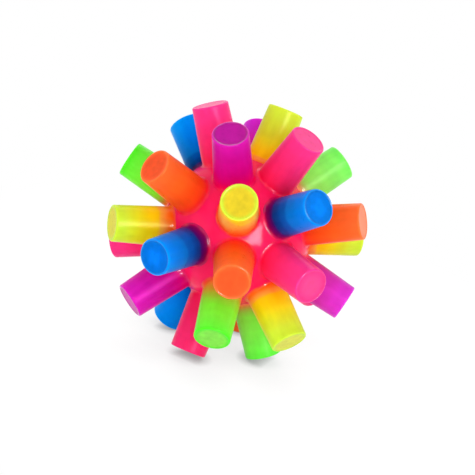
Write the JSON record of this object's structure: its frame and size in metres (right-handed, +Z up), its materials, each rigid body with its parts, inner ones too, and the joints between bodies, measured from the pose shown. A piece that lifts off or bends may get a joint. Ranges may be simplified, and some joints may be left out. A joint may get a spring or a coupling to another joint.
{
  "type": "sensory ball",
  "caption": "Soft sensory ball: a round core carries thick flexible fingers on every side, each seated in the core on a round root and sprung so that it bends and returns.",
  "frame": {"origin": "centre of the ball", "axes": "+Z up as the ball lies on four fingertips, +X out through the right end finger, -Y towards the viewer's side of the picture"},
  "size_m": [0.1, 0.0992, 0.096],
  "materials": {
    "core": "soft elastomer, glossy, a little see-through, hot pink",
    "pink": "soft elastomer, glossy, hot pink",
    "yellow": "soft elastomer, glossy, lime yellow that fades to orange and pink at the root",
    "orange": "soft elastomer, glossy, orange that fades to pink at the root",
    "green": "soft elastomer, glossy, neon green that fades to amber at the root",
    "blue": "soft elastomer, glossy, blue that fades to dark violet at the root",
    "purple": "soft elastomer, glossy, magenta purple that fades to pink at the root"
  },
  "bodies": {
    "core": {"core": "core"},
    "left_end_finger": {"left_end_finger": "yellow"},
    "left_cap_finger_1": {"left_cap_finger_1": "orange"},
    "left_cap_finger_2": {"left_cap_finger_2": "blue"},
    "left_cap_finger_3": {"left_cap_finger_3": "purple"},
    "left_cap_finger_4": {"left_cap_finger_4": "pink"},
    "left_cap_finger_5": {"left_cap_finger_5": "green"},
    "left_belt_finger_1": {"left_belt_finger_1": "purple"},
    "left_belt_finger_2": {"left_belt_finger_2": "yellow"},
    "left_belt_finger_3": {"left_belt_finger_3": "orange"},
    "left_belt_finger_4": {"left_belt_finger_4": "green"},
    "left_belt_finger_5": {"left_belt_finger_5": "pink"},
    "left_belt_finger_6": {"left_belt_finger_6": "blue"},
    "left_belt_finger_7": {"left_belt_finger_7": "green"},
    "left_belt_finger_8": {"left_belt_finger_8": "orange"},
    "left_belt_finger_9": {"left_belt_finger_9": "blue"},
    "left_belt_finger_10": {"left_belt_finger_10": "pink"},
    "right_belt_finger_1": {"right_belt_finger_1": "pink"},
    "right_belt_finger_2": {"right_belt_finger_2": "blue"},
    "right_belt_finger_3": {"right_belt_finger_3": "pink"},
    "right_belt_finger_4": {"right_belt_finger_4": "yellow"},
    "right_belt_finger_5": {"right_belt_finger_5": "green"},
    "right_belt_finger_6": {"right_belt_finger_6": "orange"},
    "right_belt_finger_7": {"right_belt_finger_7": "purple"},
    "right_belt_finger_8": {"right_belt_finger_8": "blue"},
    "right_belt_finger_9": {"right_belt_finger_9": "purple"},
    "right_belt_finger_10": {"right_belt_finger_10": "yellow"},
    "right_cap_finger_1": {"right_cap_finger_1": "orange"},
    "right_cap_finger_2": {"right_cap_finger_2": "purple"},
    "right_cap_finger_3": {"right_cap_finger_3": "pink"},
    "right_cap_finger_4": {"right_cap_finger_4": "yellow"},
    "right_cap_finger_5": {"right_cap_finger_5": "green"},
    "right_end_finger": {"right_end_finger": "yellow"}
  },
  "joints": [
    {"name": "left_end_finger_bend", "type": "hinge", "parent": "core", "child": "left_end_finger", "pos_m": [-0.0298, 0, 0], "axis": [0, 1, 0], "range_deg": [-30, 30], "stiffness_Nm_per_rad": 0.15},
    {"name": "left_cap_finger_1_bend", "type": "hinge", "parent": "core", "child": "left_cap_finger_1", "pos_m": [-0.02411, -0.00541, 0.01666], "axis": [0.5878, -0.25, 0.7694], "range_deg": [-30, 30], "stiffness_Nm_per_rad": 0.15},
    {"name": "left_cap_finger_2_bend", "type": "hinge", "parent": "core", "child": "left_cap_finger_2", "pos_m": [-0.02411, -0.01752, 0], "axis": [0.5878, -0.809, 0], "range_deg": [-30, 30], "stiffness_Nm_per_rad": 0.15},
    {"name": "left_cap_finger_3_bend", "type": "hinge", "parent": "core", "child": "left_cap_finger_3", "pos_m": [-0.02411, -0.00541, -0.01666], "axis": [0.5878, -0.25, -0.7694], "range_deg": [-30, 30], "stiffness_Nm_per_rad": 0.15},
    {"name": "left_cap_finger_4_bend", "type": "hinge", "parent": "core", "child": "left_cap_finger_4", "pos_m": [-0.02411, 0.01417, -0.0103], "axis": [0.5878, 0.6545, -0.4755], "range_deg": [-30, 30], "stiffness_Nm_per_rad": 0.15},
    {"name": "left_cap_finger_5_bend", "type": "hinge", "parent": "core", "child": "left_cap_finger_5", "pos_m": [-0.02411, 0.01417, 0.0103], "axis": [0.5878, 0.6545, 0.4755], "range_deg": [-30, 30], "stiffness_Nm_per_rad": 0.15},
    {"name": "left_belt_finger_1_bend", "type": "hinge", "parent": "core", "child": "left_belt_finger_1", "pos_m": [-0.00921, -0.00876, 0.02695], "axis": [0.9511, -0.0955, 0.2939], "range_deg": [-30, 30], "stiffness_Nm_per_rad": 0.15},
    {"name": "left_belt_finger_2_bend", "type": "hinge", "parent": "core", "child": "left_belt_finger_2", "pos_m": [-0.00921, -0.02293, 0.01666], "axis": [0.9511, -0.25, 0.1816], "range_deg": [-30, 30], "stiffness_Nm_per_rad": 0.15},
    {"name": "left_belt_finger_3_bend", "type": "hinge", "parent": "core", "child": "left_belt_finger_3", "pos_m": [-0.00921, -0.02834, 0], "axis": [0.9511, -0.309, 0], "range_deg": [-30, 30], "stiffness_Nm_per_rad": 0.15},
    {"name": "left_belt_finger_4_bend", "type": "hinge", "parent": "core", "child": "left_belt_finger_4", "pos_m": [-0.00921, -0.02293, -0.01666], "axis": [0.9511, -0.25, -0.1816], "range_deg": [-30, 30], "stiffness_Nm_per_rad": 0.15},
    {"name": "left_belt_finger_5_bend", "type": "hinge", "parent": "core", "child": "left_belt_finger_5", "pos_m": [-0.00921, -0.00876, -0.02695], "axis": [0.9511, -0.0955, -0.2939], "range_deg": [-30, 30], "stiffness_Nm_per_rad": 0.15},
    {"name": "left_belt_finger_6_bend", "type": "hinge", "parent": "core", "child": "left_belt_finger_6", "pos_m": [-0.00921, 0.00876, -0.02695], "axis": [0.9511, 0.0955, -0.2939], "range_deg": [-30, 30], "stiffness_Nm_per_rad": 0.15},
    {"name": "left_belt_finger_7_bend", "type": "hinge", "parent": "core", "child": "left_belt_finger_7", "pos_m": [-0.00921, 0.02293, -0.01666], "axis": [0.9511, 0.25, -0.1816], "range_deg": [-30, 30], "stiffness_Nm_per_rad": 0.15},
    {"name": "left_belt_finger_8_bend", "type": "hinge", "parent": "core", "child": "left_belt_finger_8", "pos_m": [-0.00921, 0.02834, 0], "axis": [0.9511, 0.309, 0], "range_deg": [-30, 30], "stiffness_Nm_per_rad": 0.15},
    {"name": "left_belt_finger_9_bend", "type": "hinge", "parent": "core", "child": "left_belt_finger_9", "pos_m": [-0.00921, 0.02293, 0.01666], "axis": [0.9511, 0.25, 0.1816], "range_deg": [-30, 30], "stiffness_Nm_per_rad": 0.15},
    {"name": "left_belt_finger_10_bend", "type": "hinge", "parent": "core", "child": "left_belt_finger_10", "pos_m": [-0.00921, 0.00876, 0.02695], "axis": [0.9511, 0.0955, 0.2939], "range_deg": [-30, 30], "stiffness_Nm_per_rad": 0.15},
    {"name": "right_belt_finger_1_bend", "type": "hinge", "parent": "core", "child": "right_belt_finger_1", "pos_m": [0.00921, -0.00876, 0.02695], "axis": [0.9511, 0.0955, -0.2939], "range_deg": [-30, 30], "stiffness_Nm_per_rad": 0.15},
    {"name": "right_belt_finger_2_bend", "type": "hinge", "parent": "core", "child": "right_belt_finger_2", "pos_m": [0.00921, -0.02293, 0.01666], "axis": [0.9511, 0.25, -0.1816], "range_deg": [-30, 30], "stiffness_Nm_per_rad": 0.15},
    {"name": "right_belt_finger_3_bend", "type": "hinge", "parent": "core", "child": "right_belt_finger_3", "pos_m": [0.00921, -0.02834, 0], "axis": [0.9511, 0.309, 0], "range_deg": [-30, 30], "stiffness_Nm_per_rad": 0.15},
    {"name": "right_belt_finger_4_bend", "type": "hinge", "parent": "core", "child": "right_belt_finger_4", "pos_m": [0.00921, -0.02293, -0.01666], "axis": [0.9511, 0.25, 0.1816], "range_deg": [-30, 30], "stiffness_Nm_per_rad": 0.15},
    {"name": "right_belt_finger_5_bend", "type": "hinge", "parent": "core", "child": "right_belt_finger_5", "pos_m": [0.00921, -0.00876, -0.02695], "axis": [0.9511, 0.0955, 0.2939], "range_deg": [-30, 30], "stiffness_Nm_per_rad": 0.15},
    {"name": "right_belt_finger_6_bend", "type": "hinge", "parent": "core", "child": "right_belt_finger_6", "pos_m": [0.00921, 0.00876, -0.02695], "axis": [0.9511, -0.0955, 0.2939], "range_deg": [-30, 30], "stiffness_Nm_per_rad": 0.15},
    {"name": "right_belt_finger_7_bend", "type": "hinge", "parent": "core", "child": "right_belt_finger_7", "pos_m": [0.00921, 0.02293, -0.01666], "axis": [0.9511, -0.25, 0.1816], "range_deg": [-30, 30], "stiffness_Nm_per_rad": 0.15},
    {"name": "right_belt_finger_8_bend", "type": "hinge", "parent": "core", "child": "right_belt_finger_8", "pos_m": [0.00921, 0.02834, 0], "axis": [0.9511, -0.309, 0], "range_deg": [-30, 30], "stiffness_Nm_per_rad": 0.15},
    {"name": "right_belt_finger_9_bend", "type": "hinge", "parent": "core", "child": "right_belt_finger_9", "pos_m": [0.00921, 0.02293, 0.01666], "axis": [0.9511, -0.25, -0.1816], "range_deg": [-30, 30], "stiffness_Nm_per_rad": 0.15},
    {"name": "right_belt_finger_10_bend", "type": "hinge", "parent": "core", "child": "right_belt_finger_10", "pos_m": [0.00921, 0.00876, 0.02695], "axis": [0.9511, -0.0955, -0.2939], "range_deg": [-30, 30], "stiffness_Nm_per_rad": 0.15},
    {"name": "right_cap_finger_1_bend", "type": "hinge", "parent": "core", "child": "right_cap_finger_1", "pos_m": [0.02411, -0.01417, 0.0103], "axis": [0.5878, 0.6545, -0.4755], "range_deg": [-30, 30], "stiffness_Nm_per_rad": 0.15},
    {"name": "right_cap_finger_2_bend", "type": "hinge", "parent": "core", "child": "right_cap_finger_2", "pos_m": [0.02411, -0.01417, -0.0103], "axis": [0.5878, 0.6545, 0.4755], "range_deg": [-30, 30], "stiffness_Nm_per_rad": 0.15},
    {"name": "right_cap_finger_3_bend", "type": "hinge", "parent": "core", "child": "right_cap_finger_3", "pos_m": [0.02411, 0.00541, -0.01666], "axis": [0.5878, -0.25, 0.7694], "range_deg": [-30, 30], "stiffness_Nm_per_rad": 0.15},
    {"name": "right_cap_finger_4_bend", "type": "hinge", "parent": "core", "child": "right_cap_finger_4", "pos_m": [0.02411, 0.01752, 0], "axis": [0.5878, -0.809, 0], "range_deg": [-30, 30], "stiffness_Nm_per_rad": 0.15},
    {"name": "right_cap_finger_5_bend", "type": "hinge", "parent": "core", "child": "right_cap_finger_5", "pos_m": [0.02411, 0.00541, 0.01666], "axis": [0.5878, -0.25, -0.7694], "range_deg": [-30, 30], "stiffness_Nm_per_rad": 0.15},
    {"name": "right_end_finger_bend", "type": "hinge", "parent": "core", "child": "right_end_finger", "pos_m": [0.0298, 0, 0], "axis": [0, 1, 0], "range_deg": [-30, 30], "stiffness_Nm_per_rad": 0.15}
  ]
}
